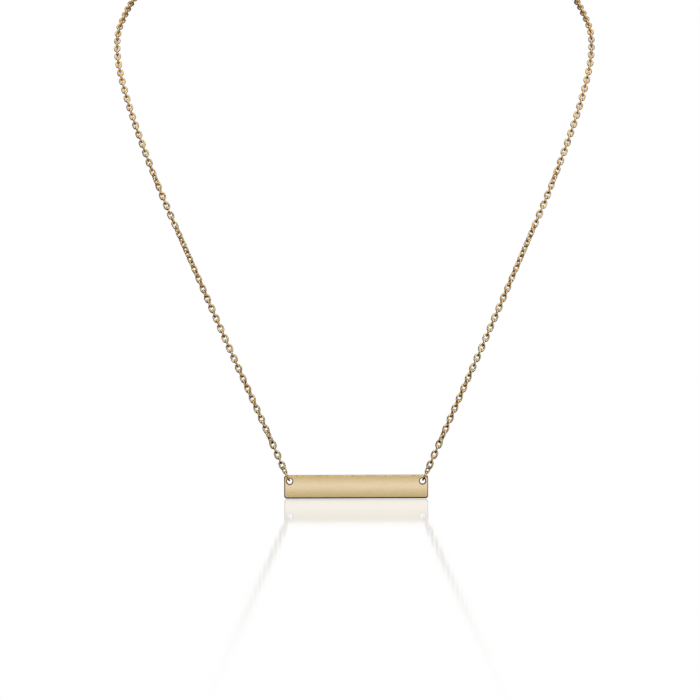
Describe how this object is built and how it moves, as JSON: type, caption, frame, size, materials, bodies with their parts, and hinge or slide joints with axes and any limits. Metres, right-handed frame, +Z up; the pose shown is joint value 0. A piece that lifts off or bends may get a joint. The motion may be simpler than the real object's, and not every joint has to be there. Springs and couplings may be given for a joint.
{
  "type": "bar pendant necklace",
  "caption": "Horizontal bar pendant hung by a jump ring at each end on a fine cable chain necklace with a barrel clasp, kept in its worn form.",
  "frame": {"origin": "middle of the clasp's inner face, where the chain rests on the nape of the neck", "axes": "+Z up, +Y towards the back of the neck, so the bar hangs at the front on the -Y side, and +X to the right seen from the front"},
  "size_m": [0.1256, 0.0999, 0.1675],
  "materials": {
    "satin_gold": "satin gold plate with polished edges",
    "polished_gold": "polished gold plate"
  },
  "bodies": {
    "necklace": {"ring_left": "polished_gold", "ring_right": "polished_gold", "chain_left": "polished_gold", "chain_right": "polished_gold", "chain_back_left": "polished_gold", "chain_back_right": "polished_gold", "clasp": "polished_gold"},
    "bar": {"bar": "satin_gold"}
  },
  "joints": [
    {"name": "bar_swing", "type": "hinge", "parent": "necklace", "child": "bar", "pos_m": [0, -0.0955, -0.16033], "axis": [1, 0, 0], "range_deg": [-30, 30]}
  ]
}
